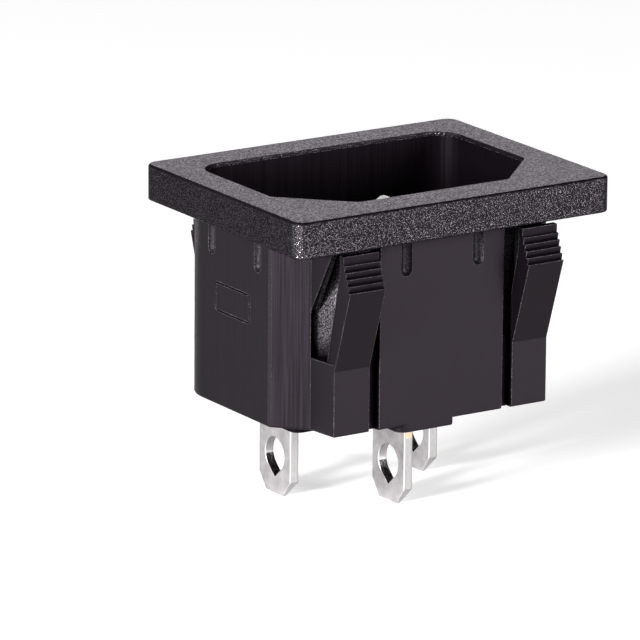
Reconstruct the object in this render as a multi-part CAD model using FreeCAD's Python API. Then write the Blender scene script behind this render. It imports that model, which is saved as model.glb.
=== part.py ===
# C14 panel inlet socket, snap-in, 31 x 24 mm bezel, 28 mm over all.
# Units are millimetres. The origin is the middle of the panel seat, the underside of the bezel.
# X runs along the long side of the bezel, +Z points out of the socket mouth, and the tabs point down.
# The front is the side with the slanted corners, at -Y.
# One STEP file is written for each piece: the moulded housing and three stamped terminals.
import FreeCAD
import Part
import os
from FreeCAD import Vector

ROOT_2 = 2 ** 0.5

# bezel
BEZEL_X = 31.0
BEZEL_Y = 24.0
BEZEL_T = 3.1
BEZEL_CORNER_R = 1.1
BEZEL_TOP_R = 0.25
BEZEL_UNDER_R = 0.18

# from the face of the bezel to the tips of the solder tabs
OVERALL_HEIGHT = 28.0

# body behind the panel, inside the ledge of the bezel
LEDGE_X = 2.1
LEDGE_Y = 2.15
BODY_DEPTH = 16.2
BODY_BACK_R = 3.65
BODY_UNDER_R = 0.2
BODY_BEVEL = 0.17
BODY_HALF_X = BEZEL_X / 2 - LEDGE_X
BODY_HALF_Y = BEZEL_Y / 2 - LEDGE_Y

# walls and floor of the socket cavity, which is open at the face of the bezel
END_WALL = 0.85
FRONT_WALL = 1.45
BACK_WALL = 1.25
KEY_WALL = 1.46
FLOOR_T = 2.8
CAVITY_CHAMFER = 5.2
CAVITY_CORNER_R = 2.4
CAVITY_KEY_R = 0.7
RIM_STEP = 0.08
RIM_DEPTH = 0.35
CAVITY_HALF_X = BODY_HALF_X - END_WALL
CAVITY_LOW_Y = FRONT_WALL - BODY_HALF_Y
CAVITY_HIGH_Y = BODY_HALF_Y - BACK_WALL
CAVITY_FLOOR_Z = FLOOR_T - BODY_DEPTH

# x - y on the slanted corner at the right, on the cavity's wall and on the outer face
CAVITY_LINE = CAVITY_HALF_X - CAVITY_LOW_Y - CAVITY_CHAMFER
OUTER_LINE = CAVITY_LINE + KEY_WALL * ROOT_2

# snap arms, one on each side of each long wall, with a slot beside each
ARM_INSET = 2.85
ARM_W = 3.45
SLOT_W = 1.0
SIDE_SPLAY = 0.38
BACK_ARM_OUT = 0.2
ARM_OUTER_X = BODY_HALF_X - ARM_INSET
ARM_INNER_X = ARM_OUTER_X - ARM_W
BLOCK_X = ARM_INNER_X - SLOT_W
SIDE_ROOT_X = ARM_OUTER_X + SIDE_SPLAY
SIDE_ROOT_Y = SIDE_ROOT_X - OUTER_LINE

# pockets behind the arms, and the skin left between a pocket and the cavity
FRONT_SKIN = 0.7
KEY_SKIN = 0.74
BACK_SKIN = 0.65
POCKET_FLOOR_Z = -10.0
BACK_FLOOR_Z = -9.2
BACK_SIDE_GAP = 0.6
WEB_T = 0.8
WEB_LENGTH = 5.9
FRONT_POCKET_Y = FRONT_SKIN - CAVITY_LOW_Y
BACK_POCKET_Y = BACK_SKIN + CAVITY_HIGH_Y
POCKET_LINE = CAVITY_LINE + KEY_SKIN * ROOT_2

# side view of an arm: it leans out from the body, and its top has a ladder of ridges
ARM_GAP = 0.25
ARM_TOP_GAP = 0.55
ARM_STAND = 1.25
ARM_TOP_T = 0.55
ARM_ROOT_T = 1.1
ARM_STRAIGHT = 1.65
KINK_DROP = 0.6
TIP_DROP = 0.72
TIP_STAND = 0.25
TIP_PITCH_Z = 0.54
TIP_STEP_Y = 0.2
TIP_COUNT = 5
CREVICE = 0.3

# raised pads on the underside
PAD_T = 0.65
PAD_R = 1.0
PAD_EDGE_R = 0.2
POWER_PAD_END_GAP = 1.9
POWER_PAD_FRONT_GAP = 4.45
POWER_PAD_BACK_GAP = 1.85
EARTH_PAD_LEFT = 4.1
EARTH_PAD_RIGHT = 1.2

# grooves at the top of the walls, two on each side of the body
NOTCH_R = 0.55
NOTCH_DEPTH = 0.38
NOTCH_LENGTH = 3.42
NOTCH_PITCH = 7.1
NOTCH_SIDE_MID_Y = 1.0

# thin line around the blank marking field on the left wall
PLATE_W = 5.35
PLATE_H = 2.55
PLATE_MID_Y = 1.28
PLATE_TOP_Z = -5.55
PLATE_R = 0.35
PLATE_LINE = 0.16
PLATE_LINE_DEPTH = 0.1

# terminals: a blade in the cavity and a flat solder tab below, in one stamping
BLADE_W = 4.0
BLADE_T = 2.0
BLADE_SEAT = 1.8
TIP_END = 1.3
TIP_END_FALL = 1.4
TIP_SIDE = 0.8
TIP_SIDE_FALL = 1.4
TAB_W = 4.8
TAB_T = 0.8
TAB_OVERLAP = 0.8
TAB_CHAMFER_Y = 1.1
TAB_CHAMFER_Z = 1.4
TAB_TIP_T = 0.28
HOLE_R = 1.5
HOLE_UP = 3.4
HOLE_TIP_DROP = 2.0
PIN_PITCH = 14.0
EARTH_OFFSET = 4.0
BLADES_BACK = 0.4
POWER_TIP_DROP = 4.1
EARTH_TIP_DROP = 2.1
POWER_TAB_SHIFT = 1.5
EARTH_TAB_SHIFT = -1.2
POWER_BLADE_Y = (CAVITY_LOW_Y + CAVITY_HIGH_Y + EARTH_OFFSET) / 2 + BLADES_BACK
EARTH_BLADE_Y = POWER_BLADE_Y - EARTH_OFFSET
BLADE_FOOT_Z = CAVITY_FLOOR_Z - BLADE_SEAT
TAB_TOP_Z = BLADE_FOOT_Z + TAB_OVERLAP
TAB_TIP_Z = BEZEL_T - OVERALL_HEIGHT

# how far a cutting tool reaches, so that it passes right through, and how deep a joined piece sinks in
REACH = BEZEL_X
SINK = 0.5

# how close two numbers are to count as the same, and the shortest edge that is taken as upright
NEAR = 1e-4
SHORTEST_UPRIGHT = 0.1


def extrude(points, direction):
    """Solid swept from a flat outline."""
    wire = Part.makePolygon(points + [points[0]])
    return Part.Face(wire).extrude(direction)


def prism(points, low, high):
    """Upright prism on an XY outline between two heights."""
    return extrude([Vector(x, y, low) for x, y in points], Vector(0, 0, high - low))


def side_prism(points, x_low, x_high):
    """Prism on a YZ outline between two X positions."""
    return extrude([Vector(x_low, y, z) for y, z in points], Vector(x_high - x_low, 0, 0))


def front_prism(points, y_low, y_high):
    """Prism on an XZ outline between two Y positions."""
    return extrude([Vector(x, y_low, z) for x, z in points], Vector(0, y_high - y_low, 0))


def box(x0, x1, y0, y1, z0, z1):
    return Part.makeBox(x1 - x0, y1 - y0, z1 - z0, Vector(x0, y0, z0))


def upright_edges(shape, places):
    """The vertical edges that stand at the given XY places."""
    found = []
    for edge in shape.Edges:
        a, b = edge.Vertexes[0].Point, edge.Vertexes[-1].Point
        if abs(a.x - b.x) < NEAR and abs(a.y - b.y) < NEAR and abs(a.z - b.z) > SHORTEST_UPRIGHT:
            if any(abs(a.x - x) < NEAR and abs(a.y - y) < NEAR for x, y in places):
                found.append(edge)
    return found


def level_edges(shape, z):
    """The edges that lie at one height."""
    return [e for e in shape.Edges if all(abs(v.Point.z - z) < NEAR for v in e.Vertexes)
            and e.BoundBox.ZLength < NEAR]


def both_sides(shape):
    """A shape and its mirror image across X."""
    return [shape, shape.mirror(Vector(0, 0, 0), Vector(1, 0, 0))]


def make_bezel():
    half_x, half_y = BEZEL_X / 2, BEZEL_Y / 2
    plate = box(-half_x, half_x, -half_y, half_y, 0, BEZEL_T)
    corners = [(x, y) for x in (-half_x, half_x) for y in (-half_y, half_y)]
    plate = plate.makeFillet(BEZEL_CORNER_R, upright_edges(plate, corners))
    plate = plate.makeFillet(BEZEL_TOP_R, level_edges(plate, BEZEL_T))
    return plate.makeFillet(BEZEL_UNDER_R, level_edges(plate, 0.0))


def body_outline():
    """Right half of the body outline, from the front to the back."""
    x = BODY_HALF_X
    start = x - OUTER_LINE
    diagonal = BODY_BEVEL / ROOT_2
    return [(ARM_OUTER_X, -BODY_HALF_Y), (SIDE_ROOT_X, SIDE_ROOT_Y), (x - diagonal, start - diagonal),
            (x, start + BODY_BEVEL), (x, BODY_HALF_Y)]


def make_body():
    right = body_outline()
    left = [(-x, y) for x, y in reversed(right)]
    body = prism(right + left, -BODY_DEPTH, SINK)
    back = [(-BODY_HALF_X, BODY_HALF_Y), (BODY_HALF_X, BODY_HALF_Y)]
    body = body.makeFillet(BODY_BACK_R, upright_edges(body, back))
    return body.makeFillet(BODY_UNDER_R, level_edges(body, -BODY_DEPTH))


def cavity_prism(grow, low, high):
    x, y0, y1 = CAVITY_HALF_X + grow, CAVITY_LOW_Y - grow, CAVITY_HIGH_Y + grow
    cut = CAVITY_CHAMFER
    points = [(x, y0 + cut), (x, y1), (-x, y1), (-x, y0 + cut), (-x + cut, y0), (x - cut, y0)]
    space = prism(points, low, high)
    space = space.makeFillet(CAVITY_CORNER_R + grow, upright_edges(space, [(x, y1), (-x, y1)]))
    keys = [(x, y0 + cut), (-x, y0 + cut), (-x + cut, y0), (x - cut, y0)]
    return space.makeFillet(CAVITY_KEY_R, upright_edges(space, keys))


def make_cavity():
    top = BEZEL_T + SINK
    space = cavity_prism(0.0, CAVITY_FLOOR_Z, top)
    return space.fuse(cavity_prism(RIM_STEP, BEZEL_T - RIM_DEPTH, top))


def front_wall(gap):
    """What stands behind the left front arm, grown by a gap: the slanted and the straight wall."""
    line = -POCKET_LINE - gap * ROOT_2
    wall_y = -FRONT_POCKET_Y - gap
    return prism([(line - wall_y, wall_y), (0, wall_y), (0, 0), (line, 0)], POCKET_FLOOR_Z - SINK, SINK)


def arm_profile():
    """Snap arm seen from the side, as distance from the middle plane and height."""
    top_y = BODY_HALF_Y + ARM_STAND
    back_y = top_y - ARM_TOP_T
    root_y = BODY_HALF_Y - ARM_ROOT_T
    kink_z = POCKET_FLOOR_Z - KINK_DROP
    first_z = -ARM_TOP_GAP - TIP_DROP
    points = [(root_y, POCKET_FLOOR_Z), (back_y, -ARM_TOP_GAP - ARM_STRAIGHT), (back_y, -ARM_TOP_GAP),
              (top_y, -ARM_TOP_GAP), (top_y, first_z)]
    for i in range(TIP_COUNT):
        y = top_y + TIP_STAND + i * TIP_STEP_Y
        z = first_z - i * TIP_PITCH_Z
        points.append((y, z))
        if i < TIP_COUNT - 1:
            points.append((y + TIP_STEP_Y - CREVICE, z - TIP_PITCH_Z))
    return points + [(BODY_HALF_Y, kink_z), (root_y, kink_z)]


def make_front_arm():
    """Left front snap arm, clear of the wall behind it."""
    arm = side_prism([(-y, z) for y, z in arm_profile()], -ARM_OUTER_X, -ARM_INNER_X)
    above_floor = box(-REACH, 0, -REACH, 0, POCKET_FLOOR_Z, SINK)
    return arm.cut(front_wall(ARM_GAP).common(above_floor))


def make_back_arm():
    """Left back snap arm, a little further out than the front one."""
    arm = side_prism(arm_profile(), -ARM_OUTER_X - BACK_ARM_OUT, -ARM_INNER_X)
    return arm.cut(box(-REACH, 0, 0, BACK_POCKET_Y + ARM_GAP, BACK_FLOOR_Z, SINK))


def make_front_pocket():
    """Space around the left front arm. A web stays beside the arm, cut off along a slant."""
    web = side_prism([(0, SINK), (-BODY_HALF_Y, SINK), (-BODY_HALF_Y, 0), (SIDE_ROOT_Y, -WEB_LENGTH),
                      (0, -WEB_LENGTH)], -SIDE_ROOT_X, -SIDE_ROOT_X + WEB_T)
    space = box(-SIDE_ROOT_X, -BLOCK_X, -REACH, 0, POCKET_FLOOR_Z, 0)
    return space.cut([front_wall(0.0), web])


def make_front_slot():
    return box(-ARM_INNER_X, -BLOCK_X, -REACH, -FRONT_POCKET_Y, -REACH, 0)


def make_back_pocket():
    upper = box(-ARM_OUTER_X - BACK_SIDE_GAP, -BLOCK_X, BACK_POCKET_Y, REACH, BACK_FLOOR_Z, 0)
    return upper.fuse(box(-ARM_INNER_X, -BLOCK_X, BACK_POCKET_Y, REACH, -REACH, 0))


def rounded_pad(x0, x1, y0, y1, corners):
    """Raised pad on the underside, rounded at the given corners."""
    pad = box(x0, x1, y0, y1, -BODY_DEPTH - PAD_T, -BODY_DEPTH + SINK)
    pad = pad.makeFillet(PAD_R, upright_edges(pad, corners))
    return pad.makeFillet(PAD_EDGE_R, level_edges(pad, -BODY_DEPTH - PAD_T))


def make_pads():
    x = BODY_HALF_X - POWER_PAD_END_GAP
    y0 = POWER_PAD_FRONT_GAP - BODY_HALF_Y
    y1 = BODY_HALF_Y - POWER_PAD_BACK_GAP
    power = rounded_pad(-x, x, y0, y1, [(-x, y0), (x, y0), (-x, y1), (x, y1)])
    left, front = -EARTH_PAD_LEFT, -BODY_HALF_Y
    earth = rounded_pad(left, EARTH_PAD_RIGHT, front, 0, [(left, front)])
    return [power, earth]


def notch(x, y, dx, dy):
    """Round-bottomed groove at the top of a wall; dx, dy point out of the wall."""
    out = NOTCH_R - NOTCH_DEPTH
    centre = Vector(x + dx * out, y + dy * out, NOTCH_R - NOTCH_LENGTH)
    bar = Part.makeCylinder(NOTCH_R, NOTCH_LENGTH - NOTCH_R, centre)
    return bar.fuse(Part.makeSphere(NOTCH_R, centre))


def make_notches():
    cuts = []
    for side in (-1, 1):
        for step in (-NOTCH_PITCH / 2, NOTCH_PITCH / 2):
            cuts.append(notch(step, side * BODY_HALF_Y, 0, side))
            cuts.append(notch(side * BODY_HALF_X, NOTCH_SIDE_MID_Y + step, side, 0))
    return cuts


def plate_prism(inset, x_low, x_high):
    half_w = PLATE_W / 2 - inset
    block = box(x_low, x_high, PLATE_MID_Y - half_w, PLATE_MID_Y + half_w,
                PLATE_TOP_Z - PLATE_H + inset, PLATE_TOP_Z - inset)
    lines = [e for e in block.Edges if abs(e.BoundBox.XLength - (x_high - x_low)) < NEAR]
    return block.makeFillet(PLATE_R - inset, lines)


def make_plate_line():
    low, high = -BODY_HALF_X - SINK, -BODY_HALF_X + PLATE_LINE_DEPTH
    return plate_prism(0.0, low, high).cut(plate_prism(PLATE_LINE, low - SINK, high + SINK))


def make_blade(y, tip_z):
    """Blade of a terminal at X = 0, with its tip cut off on all four sides."""
    half_w, half_t = BLADE_W / 2, BLADE_T / 2
    wide = side_prism([(y - half_w, BLADE_FOOT_Z), (y + half_w, BLADE_FOOT_Z),
                       (y + half_w, tip_z - TIP_END_FALL), (y + half_w - TIP_END, tip_z),
                       (y - half_w + TIP_END, tip_z), (y - half_w, tip_z - TIP_END_FALL)], -half_t, half_t)
    thin = front_prism([(-half_t, BLADE_FOOT_Z), (half_t, BLADE_FOOT_Z), (half_t, tip_z - TIP_SIDE_FALL),
                        (half_t - TIP_SIDE, tip_z), (-half_t + TIP_SIDE, tip_z),
                        (-half_t, tip_z - TIP_SIDE_FALL)], y - half_w, y + half_w)
    return wide.common(thin)


def make_tab(y):
    """Solder tab of a terminal at X = 0, thinned at its tip, with a drop-shaped hole."""
    half_w, half_t = TAB_W / 2, TAB_T / 2
    shoulder_z = TAB_TIP_Z + TAB_CHAMFER_Z
    wide = side_prism([(y - half_w, TAB_TOP_Z), (y + half_w, TAB_TOP_Z), (y + half_w, shoulder_z),
                       (y + half_w - TAB_CHAMFER_Y, TAB_TIP_Z), (y - half_w + TAB_CHAMFER_Y, TAB_TIP_Z),
                       (y - half_w, shoulder_z)], -half_t, half_t)
    thin = front_prism([(-half_t, TAB_TOP_Z), (half_t, TAB_TOP_Z), (half_t, shoulder_z),
                        (TAB_TIP_T - half_t, TAB_TIP_Z), (-half_t, TAB_TIP_Z)], y - half_w, y + half_w)
    centre_z = TAB_TIP_Z + HOLE_UP
    drill = Part.makeCylinder(HOLE_R, 2 * TAB_T, Vector(-TAB_T, y, centre_z), Vector(1, 0, 0))
    sine = HOLE_R / HOLE_TIP_DROP
    touch_y = HOLE_R * (1 - sine ** 2) ** 0.5
    touch_z = centre_z - HOLE_R * sine
    point = side_prism([(y - touch_y, touch_z), (y + touch_y, touch_z), (y, centre_z - HOLE_TIP_DROP)],
                       -TAB_T, TAB_T)
    return wide.common(thin).cut([drill, point])


def make_terminal(x, blade_y, tab_shift, tip_drop):
    piece = make_blade(blade_y, BEZEL_T - tip_drop).fuse(make_tab(blade_y + tab_shift)).removeSplitter()
    piece.translate(Vector(x, 0, 0))
    return piece


def make_housing(terminals):
    cuts = []
    for shape in (make_front_pocket(), make_front_slot(), make_back_pocket()):
        cuts += both_sides(shape)
    body = make_body().cut(cuts)
    arms = both_sides(make_front_arm()) + both_sides(make_back_arm())
    housing = body.fuse([make_bezel()] + arms + make_pads())
    housing = housing.cut([make_cavity()] + make_notches() + [make_plate_line()] + terminals)
    return housing.removeSplitter()


def single_solid(shape, name):
    if len(shape.Solids) != 1 or not shape.isValid():
        raise RuntimeError(name + " is not one valid solid: " + str(len(shape.Solids)))
    return shape.Solids[0]


def main():
    half_pitch = PIN_PITCH / 2
    terminals = {
        "power_pin_left": make_terminal(-half_pitch, POWER_BLADE_Y, POWER_TAB_SHIFT, POWER_TIP_DROP),
        "power_pin_right": make_terminal(half_pitch, POWER_BLADE_Y, POWER_TAB_SHIFT, POWER_TIP_DROP),
        "earth_pin": make_terminal(0.0, EARTH_BLADE_Y, EARTH_TAB_SHIFT, EARTH_TIP_DROP),
    }
    pieces = dict(terminals)
    pieces["housing"] = make_housing(list(terminals.values()))
    os.makedirs("parts", exist_ok=True)
    for name, shape in pieces.items():
        solid = single_solid(shape, name)
        solid.exportStep(os.path.join("parts", name + ".step"))
        bounds = solid.BoundBox
        spans = [(bounds.XMin, bounds.XMax), (bounds.YMin, bounds.YMax), (bounds.ZMin, bounds.ZMax)]
        print(name, "volume", round(solid.Volume, 1), [(round(low, 2), round(high, 2)) for low, high in spans])


main()
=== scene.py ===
import math
import bpy
from mathutils import Matrix, Vector
from types import SimpleNamespace


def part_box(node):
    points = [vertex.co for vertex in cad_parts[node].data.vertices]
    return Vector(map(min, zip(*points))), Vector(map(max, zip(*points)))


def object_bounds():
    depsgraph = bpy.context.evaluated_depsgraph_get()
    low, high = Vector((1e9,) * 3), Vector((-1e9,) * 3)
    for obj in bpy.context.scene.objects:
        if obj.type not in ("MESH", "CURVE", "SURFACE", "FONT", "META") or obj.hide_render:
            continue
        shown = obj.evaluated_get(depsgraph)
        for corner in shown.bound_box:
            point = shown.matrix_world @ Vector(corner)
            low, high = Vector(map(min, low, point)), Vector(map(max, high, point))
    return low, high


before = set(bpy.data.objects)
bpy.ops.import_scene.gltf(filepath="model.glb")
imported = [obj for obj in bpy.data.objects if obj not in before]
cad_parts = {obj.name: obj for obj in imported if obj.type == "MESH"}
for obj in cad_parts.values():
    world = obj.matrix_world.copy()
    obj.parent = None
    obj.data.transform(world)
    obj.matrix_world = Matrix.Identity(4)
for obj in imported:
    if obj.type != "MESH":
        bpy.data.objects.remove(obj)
cad_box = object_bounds()

MM = 0.001
IMAGE_PX = 640

# camera, fitted to the straight edges of the bezel, and the pixel of the middle of the bezel's top face
CAMERA_YAW = -33.0
CAMERA_PITCH = 15.44
CAMERA_ROLL = 0.46
CAMERA_DISTANCE = 560.1 * MM
FOCAL_PX = 6730.0
SENSOR_MM = 36.0
BEZEL_TOP_PX = (377.5, 168.9)

# bezel and socket cavity
BEZEL_TOP_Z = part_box("housing")[1][2]
SEAT_MARGIN = 0.02 * MM
RIM_BAND = 0.35 * MM
CAVITY_HALF_X = 13.0 * MM
CAVITY_LOW_Y = -8.75 * MM
CAVITY_HIGH_Y = 8.92 * MM
CAVITY_CORNER_SUM = 16.45 * MM

# pockets behind the snap arms, and the arms
POCKET_NEAR_X = 6.2 * MM
POCKET_FAR_X = 10.5 * MM
WALL_END_X = 12.8 * MM
POCKET_HALF_Y = 9.75 * MM
POCKET_FLOOR_Z = -9.98 * MM
ARM_BACK_Y = 9.87 * MM
ARM_FOOT_Z = -11.0 * MM

# grooves at the top of the walls
NOTCH_FLOOR_Z = -3.44 * MM
NOTCH_SIDE_X = (12.9 * MM, 13.38 * MM)
NOTCH_SIDE_LOW_Y = -3.3 * MM
NOTCH_FRONT_Y = (9.35 * MM, 9.83 * MM)
NOTCH_FRONT_X = 6.0 * MM

# root of the solder tabs, and the bare patch on the earth tab
TAB_ROOT_Z = -16.0 * MM
BARE_PATCH_Y = -5.0 * MM
BARE_PATCH_Z = -19.0 * MM

# limits on how far a face turns: up in the first three, to X and Y where slanted, to X where sheared
LEVEL_FROM = 0.95
ROUNDED_FROM = 0.15
HOLE_FLOOR_FROM = 0.2
SLANTED_FROM = 0.5
SHEARED_UP_TO = 0.5

# how far from the surface open air is looked for, and in how many samples
HOLLOW_REACH = 2.0 * MM
CREVICE_REACH = 0.35 * MM
REACH_SAMPLES = 6

# rounding of the edges, in the normals only
EDGE_RADIUS = 0.08 * MM
EDGE_SAMPLES = 6
TAB_EDGE_RADIUS = 0.2 * MM
TAB_EDGE_SAMPLES = 8
# the direction that the tabs' edges face where they get a painted highlight: front and left
HIGHLIGHT_FACING = (-0.707, -0.707, 0.0)

# noises: repeats in a metre, detail and roughness, and factors that draw a noise out along an axis
GRAIN_NOISE = (13000.0, 1.0, 0.5)
SPECK_NOISE = (6000.0, 1.0, 0.5)
CLOUD_NOISE = (160.0, 3.0, 0.6)
DRAWN_NOISE = (9000.0, 2.0, 0.6, (1.0, 1.0, 0.012))
ROLLED_NOISE = (4200.0, 3.0, 0.65, (1.0, 1.0, 0.02))
TORN_NOISE = (9000.0, 3.0, 0.7, (1.0, 0.3, 0.25))
STAIN_NOISE = (800.0, 3.0, 0.65)
PIT_NOISE = (6000.0, 3.0, 0.7)

# flecks: repeats in a metre, and the distances from its middle where a fleck ends and where it is full
FLECK_SCALE = 11500.0
FLECK_EDGE = 0.75
FLECK_CORE = 0.1

# relief of the grain and of the torn metal, and shares of it for what is finer
GRAIN_HEIGHT = 0.065 * MM
DRAWN_SHARE = 0.06
# on the rounded edge of the bezel: a finer grain, and fewer pale flecks, which is painted shade
ROUNDED_SHADE_SHARE = 0.4
NOTCH_SHARE = 0.3
TORN_HEIGHT = 0.01 * MM
ROLLED_SHARE = 0.5

# colours and tints of the plastic
PLAIN_DARK = (0.0032, 0.0022, 0.0036, 1.0)
PLAIN_LIGHT = (0.0045, 0.0032, 0.005, 1.0)
PLAIN_FLECK = (0.03, 0.028, 0.03, 1.0)
RECESS_FLECK = (0.17, 0.163, 0.173, 1.0)
BEZEL_FLECK = (0.013, 0.0115, 0.0135, 1.0)
# pale specks on the level top of the bezel only: painted light that makes the top lighter than the sides
TOP_PAINTED_LIGHT = (0.225, 0.186, 0.236, 1.0)
# pale on the convex edges: painted highlights on the edges
EDGE_HIGHLIGHT_DULL = (0.04, 0.037, 0.04, 1.0)
EDGE_HIGHLIGHT_BRIGHT = (0.4, 0.4, 0.4, 1.0)
# darker cavity walls: painted shade inside the socket
CAVITY_SHADE_BLACK = (0.003, 0.002, 0.003, 1.0)
CAVITY_SHADE_SHARE = 0.7
SMOOTH_TINT = (1.0, 0.82, 1.0, 1.0)
GRAIN_TINT = (1.0, 0.89, 1.0, 1.0)

# ramps, here and below: start, end, and what they give there when that isn't 0 and 1
PLAIN_FLECK_RAMP = (0.8, 1.0, 0.0, 0.6)
FLECK_RAMP = (0.35, 0.9)
# where the painted light on the top and the painted highlights on the edges lie
TOP_PAINTED_LIGHT_RAMP = (0.46, 0.58)
EDGE_HIGHLIGHT_RAMP = (0.5, 0.9)
EDGE_TURN = (0.998, 0.93)
EDGE_CLEAR = (0.9, 1.0)
# the pockets' pale grain fades out where the air is closed in: painted shade in the corners of the pockets
POCKET_GRAIN_SHADE = (0.6, 0.75)

# roughness of the plastic
ARM_ROUGH = 0.28
WALL_ROUGH = (0.3, 0.7, 0.38, 0.46)
GRAIN_ROUGH = (0.3, 0.7, 0.5, 0.22)

# gloss of the plastic; the grain's goes from the first to the second value over GLINT_RAMP
WALL_GLOSS = 0.25
ARM_GLOSS = 0.19
SLANTED_GLOSS = (0.38, 0.62, 0.16, 0.28)
# less gloss inside the cavity is painted shade; its streaks follow the drawn lines
CAVITY_GLOSS = (0.4, 0.7, 0.05, 0.1)
GLINT_RAMP = (0.55, 0.95)
RECESS_GLINT = (0.14, 1.1)
BEZEL_GLINT = (0.12, 3.2)
# more gloss on faces turned half to X and half to Y, which brightens the highlight on the bezel's corner:
# painted highlight
SLANTED_GAIN = 1.7

# painted shade: what is left of the gloss on the rounded edge of the bezel, in the corners of the pockets,
# in hollows and in crevices; and what is left where a face is seen at a low angle
ROUNDED_LEFT = 0.25
POCKET_SHADE = (0.64, 0.76, 0.03, 1.0)
HOLLOW_SHADE = (0.4, 0.8, 0.01, 1.0)
CREVICE_SHADE = (0.52, 0.9, 0.1, 1.0)
LOW_ANGLE = (0.2, 0.5)
LOW_ANGLE_SMOOTH = 0.3
LOW_ANGLE_GRAINED = 0.1

# colours and roughness of the metal
# the blades' plated metal raised to near white: partly the metal, partly a painted highlight
BLADE_METAL_AND_HIGHLIGHT = (0.98, 0.96, 0.93, 1.0)
FACE_DARK = (0.38, 0.362, 0.37, 1.0)
FACE_LIGHT = (0.59, 0.567, 0.573, 1.0)
PIT_COLOUR = (0.35, 0.33, 0.33, 1.0)
TORN_DARK = (0.27, 0.26, 0.26, 1.0)
TORN_LIGHT = (0.5, 0.49, 0.49, 1.0)
BARE_COLOUR = (0.62, 0.47, 0.34, 1.0)
# dark on the up-facing walls of the holes: painted shade
HOLE_SHADE_DARK = (0.012, 0.011, 0.012, 1.0)
HOLE_SHADE_LIGHT = (0.16, 0.15, 0.15, 1.0)
STAIN_RAMP = (0.3, 0.7)
PIT_RAMP = (0.62, 0.75, 0.0, 0.5)
# how the painted shade in the holes is mottled
HOLE_SHADE_RAMP = (0.45, 0.7)
# where the painted highlight lies on the tabs' edges
HIGHLIGHT_TURN = (0.84, 0.97)
HIGHLIGHT_LINES = (0.35, 0.6, 0.5, 1.0)
BLADE_ROUGH = 0.55
TORN_ROUGH = 0.48
ROLLED_ROUGH = (0.3, 0.7, 0.28, 0.42)

# floor and world
WHITE = (1.0, 1.0, 1.0, 1.0)
FLOOR_SIZE = 4.0
FLOOR_COLOUR = (0.9, 0.9, 0.9, 1.0)
FLOOR_GLOW = 0.55
SKY_WHITE_UP_TO = 0.35
SKY_DARK_FROM = 0.6
SKY_OVERHEAD = 0.05
WORLD_LIGHT = 0.05


class Graph:
    """The nodes of a material or of the world, and short calls that add them."""

    def __init__(self, owner, output):
        owner.use_nodes = True
        self.owner = owner
        self.output = output
        self.tree = owner.node_tree
        self.tree.nodes.clear()
        self.coords = self.node("ShaderNodeTexCoord").outputs

    def node(self, kind, inputs=None, **settings):
        made = self.tree.nodes.new(kind)
        for key, value in settings.items():
            setattr(made, key, value)
        for key, value in (inputs or {}).items():
            if isinstance(value, bpy.types.NodeSocket):
                self.tree.links.new(value, made.inputs[key])
            else:
                made.inputs[key].default_value = value
        return made

    def math(self, operation, a, b=0.0):
        return self.node("ShaderNodeMath", {0: a, 1: b}, operation=operation).outputs[0]

    def both(self, *masks):
        """Product of masks."""
        total = masks[0]
        for mask in masks[1:]:
            total = self.math("MULTIPLY", total, mask)
        return total

    def either(self, a, b):
        return self.math("MAXIMUM", a, b)

    def without(self, mask):
        return self.math("SUBTRACT", 1.0, mask)

    def above(self, value, limit):
        return self.math("GREATER_THAN", value, limit)

    def below(self, value, limit):
        return self.math("LESS_THAN", value, limit)

    def between(self, value, low, high):
        return self.both(self.above(value, low), self.below(value, high))

    def ramp(self, value, start, end, low=0.0, high=1.0):
        inputs = {"Value": value, "From Min": start, "From Max": end, "To Min": low, "To Max": high}
        return self.node("ShaderNodeMapRange", inputs).outputs["Result"]

    def split(self, vector):
        return self.node("ShaderNodeSeparateXYZ", {0: vector}).outputs

    def aligned(self, a, b):
        """Cosine of the angle between two directions."""
        return self.node("ShaderNodeVectorMath", {0: a, 1: b}, operation="DOT_PRODUCT").outputs["Value"]

    def openness(self, reach):
        """1 where the air is open as far as reach, and less in hollows."""
        made = self.node("ShaderNodeAmbientOcclusion", {"Distance": reach}, samples=REACH_SAMPLES)
        return made.outputs["AO"]

    def softened(self, radius, samples):
        return self.node("ShaderNodeBevel", {"Radius": radius}, samples=samples).outputs["Normal"]

    def relief(self, height, distance, normal):
        inputs = {"Height": height, "Distance": distance, "Strength": 1.0, "Normal": normal}
        return self.node("ShaderNodeBump", inputs).outputs["Normal"]

    def noise(self, scale, detail, rough, drawn_out=None):
        vector = self.coords["Object"]
        if drawn_out:
            vector = self.node("ShaderNodeMapping", {"Vector": vector, "Scale": drawn_out}).outputs["Vector"]
        inputs = {"Vector": vector, "Scale": scale, "Detail": detail, "Roughness": rough}
        return self.node("ShaderNodeTexNoise", inputs).outputs["Fac"]

    def flecks(self):
        """Small separate dots: 1 in the middle of each and 0 between them."""
        inputs = {"Vector": self.coords["Object"], "Scale": FLECK_SCALE}
        distance = self.node("ShaderNodeTexVoronoi", inputs).outputs["Distance"]
        return self.ramp(distance, FLECK_EDGE, FLECK_CORE)

    def colour(self, factor, first, second):
        return self.node("ShaderNodeMix", {0: factor, 6: first, 7: second}, data_type="RGBA").outputs[2]

    def number(self, factor, first, second):
        return self.node("ShaderNodeMix", {0: factor, 2: first, 3: second}, data_type="FLOAT").outputs[0]

    def finish(self, shader):
        self.node(self.output, {"Surface": shader})
        return self.owner


def new_material(name):
    return Graph(bpy.data.materials.new(name), "ShaderNodeOutputMaterial")


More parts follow.
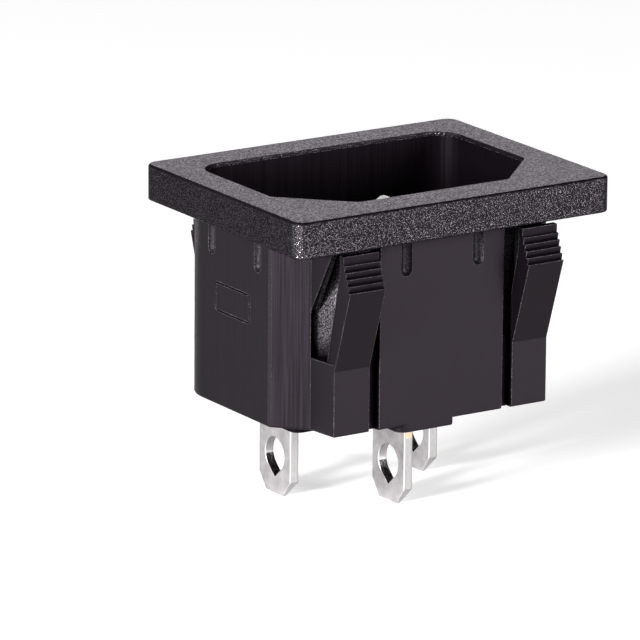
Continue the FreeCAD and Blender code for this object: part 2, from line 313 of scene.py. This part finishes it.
def housing_masks(graph, open_air):
    """Where each finish lies on the housing: 1 there and 0 elsewhere. The grain in the pockets fades out
    where the air is closed in, as painted shade. The last mask, shade, is 1 everywhere but in the corners of
    the pockets, where it darkens the gloss as painted shade."""
    place = graph.split(graph.coords["Object"])
    facing = graph.split(graph.coords["Normal"])
    x = graph.math("ABSOLUTE", place[0])
    y, z = place[1], place[2]
    depth = graph.math("ABSOLUTE", y)
    inside = graph.both(
        graph.below(x, CAVITY_HALF_X),
        graph.between(y, CAVITY_LOW_Y, CAVITY_HIGH_Y),
        graph.below(graph.math("SUBTRACT", x, y), CAVITY_CORNER_SUM),
        graph.below(z, BEZEL_TOP_Z - RIM_BAND),
    )
    bezel = graph.above(z, -SEAT_MARGIN)
    hollow = graph.both(
        graph.between(x, POCKET_NEAR_X, WALL_END_X),
        graph.below(depth, POCKET_HALF_Y),
        graph.above(z, POCKET_FLOOR_Z),
    )
    # painted shade: the pale grain gives way to plain dark plastic where the air is closed in
    pocket = graph.both(hollow, graph.below(x, POCKET_FAR_X), graph.ramp(open_air, *POCKET_GRAIN_SHADE))
    side_notch = graph.both(graph.between(x, *NOTCH_SIDE_X), graph.above(y, NOTCH_SIDE_LOW_Y))
    front_notch = graph.both(graph.between(depth, *NOTCH_FRONT_Y), graph.below(x, NOTCH_FRONT_X))
    notch = graph.both(graph.either(side_notch, front_notch), graph.above(z, NOTCH_FLOOR_Z))
    recess = graph.either(pocket, graph.math("MULTIPLY", notch, NOTCH_SHARE))
    grained = graph.both(graph.either(bezel, recess), graph.without(inside))
    diagonal = graph.math("MINIMUM", graph.math("ABSOLUTE", facing[0]), graph.math("ABSOLUTE", facing[1]))
    top = graph.both(bezel, graph.above(facing[2], LEVEL_FROM))
    rounded = graph.both(bezel, graph.above(facing[2], ROUNDED_FROM), graph.without(top))
    return SimpleNamespace(
        inside=inside,
        bezel=bezel,
        top=top,
        rounded=rounded,
        grained=grained,
        # the rounded edge of the bezel gets less relief and fewer pale flecks: finer grain and painted shade
        deep=graph.math("MULTIPLY", grained, graph.number(rounded, 1.0, ROUNDED_SHADE_SHARE)),
        arm=graph.both(graph.above(depth, ARM_BACK_Y), graph.between(z, ARM_FOOT_Z, -SEAT_MARGIN)),
        slanted=graph.both(graph.above(diagonal, SLANTED_FROM), graph.below(y, 0.0)),
        shade=graph.number(hollow, 1.0, graph.ramp(open_air, *POCKET_SHADE)),
    )


def housing_textures(graph):
    return SimpleNamespace(
        grain=graph.noise(*GRAIN_NOISE),
        fleck=graph.flecks(),
        speck=graph.noise(*SPECK_NOISE),
        drawn=graph.noise(*DRAWN_NOISE),
        cloud=graph.noise(*CLOUD_NOISE),
    )


def housing_colour(graph, masks, texture, edge):
    """Near black, with pale flecks in the grain, pale specks on the top as painted light, the cavity
    darkened as painted shade, and painted highlights on the edges.
    """
    plain = graph.colour(texture.cloud, PLAIN_DARK, PLAIN_LIGHT)
    plain = graph.colour(graph.ramp(texture.fleck, *PLAIN_FLECK_RAMP), plain, PLAIN_FLECK)
    pale = graph.colour(masks.bezel, RECESS_FLECK, BEZEL_FLECK)
    colour = graph.colour(graph.both(masks.deep, graph.ramp(texture.fleck, *FLECK_RAMP)), plain, pale)
    # painted light: pale specks on the level top only
    top_painted_light = graph.both(masks.top, graph.ramp(texture.speck, *TOP_PAINTED_LIGHT_RAMP))
    colour = graph.colour(top_painted_light, colour, TOP_PAINTED_LIGHT)
    # painted shade: the cavity walls darkened
    colour = graph.colour(graph.math("MULTIPLY", masks.inside, CAVITY_SHADE_SHARE), colour, CAVITY_SHADE_BLACK)
    # painted highlights on the convex edges
    edge_highlight = graph.colour(graph.ramp(texture.fleck, *EDGE_HIGHLIGHT_RAMP), EDGE_HIGHLIGHT_DULL, EDGE_HIGHLIGHT_BRIGHT)
    return graph.colour(edge, colour, edge_highlight)


def housing_roughness(graph, masks, texture):
    smooth = graph.number(masks.arm, graph.ramp(texture.drawn, *WALL_ROUGH), ARM_ROUGH)
    return graph.number(masks.grained, smooth, graph.ramp(texture.fleck, *GRAIN_ROUGH))


def housing_gloss(graph, masks, texture, open_air, crevice):
    smooth = graph.number(masks.arm, WALL_GLOSS, ARM_GLOSS)
    smooth = graph.number(masks.slanted, smooth, graph.ramp(texture.drawn, *SLANTED_GLOSS))
    between_flecks = graph.number(masks.bezel, RECESS_GLINT[0], BEZEL_GLINT[0])
    on_flecks = graph.number(masks.bezel, RECESS_GLINT[1], BEZEL_GLINT[1])
    glint = graph.ramp(texture.fleck, *GLINT_RAMP, between_flecks, on_flecks)
    # painted highlight: more gloss on the slanted faces
    glint = graph.math("MULTIPLY", glint, graph.number(masks.slanted, 1.0, SLANTED_GAIN))
    gloss = graph.number(masks.grained, smooth, glint)
    # painted shade: less gloss inside the cavity
    gloss = graph.number(masks.inside, gloss, graph.ramp(texture.drawn, *CAVITY_GLOSS))
    sideways = graph.node("ShaderNodeLayerWeight").outputs["Facing"]
    low_angle = graph.number(masks.grained, LOW_ANGLE_SMOOTH, LOW_ANGLE_GRAINED)
    return graph.both(
        gloss,
        # painted shade: less gloss in the pocket corners, on the rounded edge of the bezel, in hollows and
        # in crevices
        masks.shade,
        graph.number(masks.rounded, 1.0, ROUNDED_LEFT),
        graph.ramp(open_air, *HOLLOW_SHADE),
        graph.ramp(crevice, *CREVICE_SHADE),
        graph.either(masks.top, graph.ramp(sideways, *LOW_ANGLE, 1.0, low_angle)),
    )


def housing_plastic():
    """Spark-eroded grain on the bezel and in the recesses, drawn lines on smooth walls, painted highlights
    on the edges and painted shade in the hollows.
    """
    graph = new_material("black_moulding")
    open_air = graph.openness(HOLLOW_REACH)
    crevice = graph.openness(CREVICE_REACH)
    masks = housing_masks(graph, open_air)
    texture = housing_textures(graph)
    softened = graph.softened(EDGE_RADIUS, EDGE_SAMPLES)
    turned = graph.aligned(softened, graph.node("ShaderNodeNewGeometry").outputs["Normal"])
    edge = graph.both(
        graph.ramp(turned, *EDGE_TURN),
        graph.ramp(crevice, *EDGE_CLEAR),
        graph.without(graph.either(masks.inside, masks.bezel)),
    )
    height = graph.number(masks.deep, graph.math("MULTIPLY", texture.drawn, DRAWN_SHARE), texture.grain)
    shader = graph.node("ShaderNodeBsdfPrincipled", {
        "Base Color": housing_colour(graph, masks, texture, edge),
        "Roughness": housing_roughness(graph, masks, texture),
        "Specular IOR Level": housing_gloss(graph, masks, texture, open_air, crevice),
        "Specular Tint": graph.colour(masks.grained, SMOOTH_TINT, GRAIN_TINT),
        "Normal": graph.relief(height, GRAIN_HEIGHT, softened),
    })
    return graph.finish(shader.outputs["BSDF"])


def plated_metal():
    """Blades near white, partly a painted highlight, and tabs with rolled faces, torn edges, painted
    highlights on the edges that face front and left, and painted shade on the up-facing walls of the holes.
    """
    graph = new_material("plated_terminal")
    facing = graph.split(graph.coords["Normal"])
    place = graph.split(graph.coords["Object"])
    lines = graph.noise(*ROLLED_NOISE)
    torn = graph.noise(*TORN_NOISE)
    softened = graph.softened(TAB_EDGE_RADIUS, TAB_EDGE_SAMPLES)
    sheared = graph.below(graph.math("ABSOLUTE", facing[0]), SHEARED_UP_TO)
    tab = graph.below(place[2], TAB_ROOT_Z)
    # painted highlight: white on the tabs' edges that face front and left
    front_left_highlight = graph.both(
        tab,
        graph.ramp(graph.aligned(softened, HIGHLIGHT_FACING), *HIGHLIGHT_TURN),
        graph.ramp(lines, *HIGHLIGHT_LINES),
    )
    bare = graph.both(sheared, tab, graph.below(place[1], BARE_PATCH_Y), graph.above(place[2], BARE_PATCH_Z))
    # painted shade: the up-facing walls of the holes darkened
    hole_shade = graph.both(sheared, tab, graph.above(facing[2], HOLE_FLOOR_FROM))
    face = graph.colour(graph.ramp(graph.noise(*STAIN_NOISE), *STAIN_RAMP), FACE_DARK, FACE_LIGHT)
    face = graph.colour(graph.ramp(graph.noise(*PIT_NOISE), *PIT_RAMP), face, PIT_COLOUR)
    colour = graph.colour(sheared, face, graph.colour(torn, TORN_DARK, TORN_LIGHT))
    # blades near white: plated metal with a painted highlight
    colour = graph.colour(tab, BLADE_METAL_AND_HIGHLIGHT, colour)
    colour = graph.colour(front_left_highlight, colour, WHITE)
    colour = graph.colour(bare, colour, BARE_COLOUR)
    colour = graph.colour(hole_shade, colour, graph.colour(graph.ramp(torn, *HOLE_SHADE_RAMP), HOLE_SHADE_DARK, HOLE_SHADE_LIGHT))
    rough = graph.number(sheared, graph.ramp(lines, *ROLLED_ROUGH), TORN_ROUGH)
    height = graph.number(sheared, graph.math("MULTIPLY", lines, ROLLED_SHARE), torn)
    shader = graph.node("ShaderNodeBsdfPrincipled", {
        "Base Color": colour,
        "Metallic": 1.0,
        "Roughness": graph.number(tab, BLADE_ROUGH, rough),
        "Normal": graph.relief(height, TORN_HEIGHT, softened),
    })
    return graph.finish(shader.outputs["BSDF"])


def seen_directly(graph):
    """1 where the ray comes from the camera, a mirror or glass, and 0 for light on the object."""
    path = graph.node("ShaderNodeLightPath").outputs
    seen = graph.either(path["Is Camera Ray"], path["Is Glossy Ray"])
    return graph.either(seen, path["Is Transmission Ray"])


def floor_material():
    graph = new_material("pale_floor")
    matt = graph.node("ShaderNodeBsdfDiffuse", {"Color": FLOOR_COLOUR})
    strength = graph.math("MULTIPLY", seen_directly(graph), FLOOR_GLOW)
    glow = graph.node("ShaderNodeEmission", {"Color": WHITE, "Strength": strength})
    both = graph.node("ShaderNodeAddShader", {0: matt.outputs[0], 1: glow.outputs[0]})
    return graph.finish(both.outputs[0])


def make_floor():
    z = cad_box[0][2]
    half = FLOOR_SIZE / 2
    mesh = bpy.data.meshes.new("floor")
    corners = [(-half, -half, z), (half, -half, z), (half, half, z), (-half, half, z)]
    mesh.from_pydata(corners, [], [(0, 1, 2, 3)])
    floor = bpy.data.objects.new("floor", mesh)
    bpy.context.scene.collection.objects.link(floor)
    mesh.materials.append(floor_material())


def make_world():
    """White at the horizon, darker overhead, and a plain level of light on everything else."""
    graph = Graph(bpy.data.worlds.new("studio"), "ShaderNodeOutputWorld")
    sky = graph.node("ShaderNodeMapRange", {
        "Value": graph.split(graph.coords["Generated"])[2],
        "From Min": SKY_WHITE_UP_TO,
        "From Max": SKY_DARK_FROM,
        "To Min": 1.0,
        "To Max": SKY_OVERHEAD,
    }, interpolation_type="SMOOTHSTEP")
    level = graph.ramp(seen_directly(graph), 0.0, 1.0, WORLD_LIGHT, sky.outputs["Result"])
    background = graph.node("ShaderNodeBackground", {"Color": WHITE, "Strength": level})
    bpy.context.scene.world = graph.finish(background.outputs[0])


def add_lamp(name, azimuth, elevation, distance, size, power):
    """Square soft box that faces the object. Azimuth 0 stands on the -Y side and 90 on the +X side."""
    a, e = math.radians(azimuth), math.radians(elevation)
    place = Vector((math.sin(a) * math.cos(e), -math.cos(a) * math.cos(e), math.sin(e))) * distance
    data = bpy.data.lights.new(name, "AREA")
    data.shape = "SQUARE"
    data.size = size
    data.energy = power
    lamp = bpy.data.objects.new(name, data)
    bpy.context.scene.collection.objects.link(lamp)
    lamp.location = place
    lamp.rotation_euler = place.to_track_quat("Z", "Y").to_euler()


def make_camera():
    yaw, pitch, roll = (math.radians(a) for a in (CAMERA_YAW, CAMERA_PITCH, CAMERA_ROLL))
    back = Vector((math.sin(yaw) * math.cos(pitch), -math.cos(yaw) * math.cos(pitch), math.sin(pitch)))
    level = Vector((math.cos(yaw), math.sin(yaw), 0.0))
    raised = back.cross(level)
    right = level * math.cos(roll) + raised * math.sin(roll)
    up = raised * math.cos(roll) - level * math.sin(roll)
    target = Vector((0.0, 0.0, BEZEL_TOP_Z))
    across = (BEZEL_TOP_PX[0] - IMAGE_PX / 2) / FOCAL_PX * CAMERA_DISTANCE
    above = (IMAGE_PX / 2 - BEZEL_TOP_PX[1]) / FOCAL_PX * CAMERA_DISTANCE
    centre = target - right * across - up * above + back * CAMERA_DISTANCE
    data = bpy.data.cameras.new("camera")
    data.sensor_width = SENSOR_MM
    data.lens = FOCAL_PX / IMAGE_PX * SENSOR_MM
    camera = bpy.data.objects.new("camera", data)
    bpy.context.scene.collection.objects.link(camera)
    axes = Matrix((right, up, back)).transposed().to_4x4()
    camera.matrix_world = Matrix.Translation(centre) @ axes
    bpy.context.scene.camera = camera


def dress(name, material):
    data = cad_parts[name].data
    data.materials.clear()
    data.materials.append(material)


make_camera()
make_floor()
make_world()
add_lamp("key", azimuth=-77.0, elevation=10.0, distance=0.8, size=0.16, power=14.0)
add_lamp("front", azimuth=30.0, elevation=12.0, distance=0.8, size=0.3, power=5.0)
add_lamp("back", azimuth=147.0, elevation=17.0, distance=1.0, size=0.5, power=0.5)

dress("housing", housing_plastic())
metal = plated_metal()
for terminal in ("power_pin_left", "power_pin_right", "earth_pin"):
    dress(terminal, metal)

bpy.context.scene.view_settings.view_transform = "Standard"
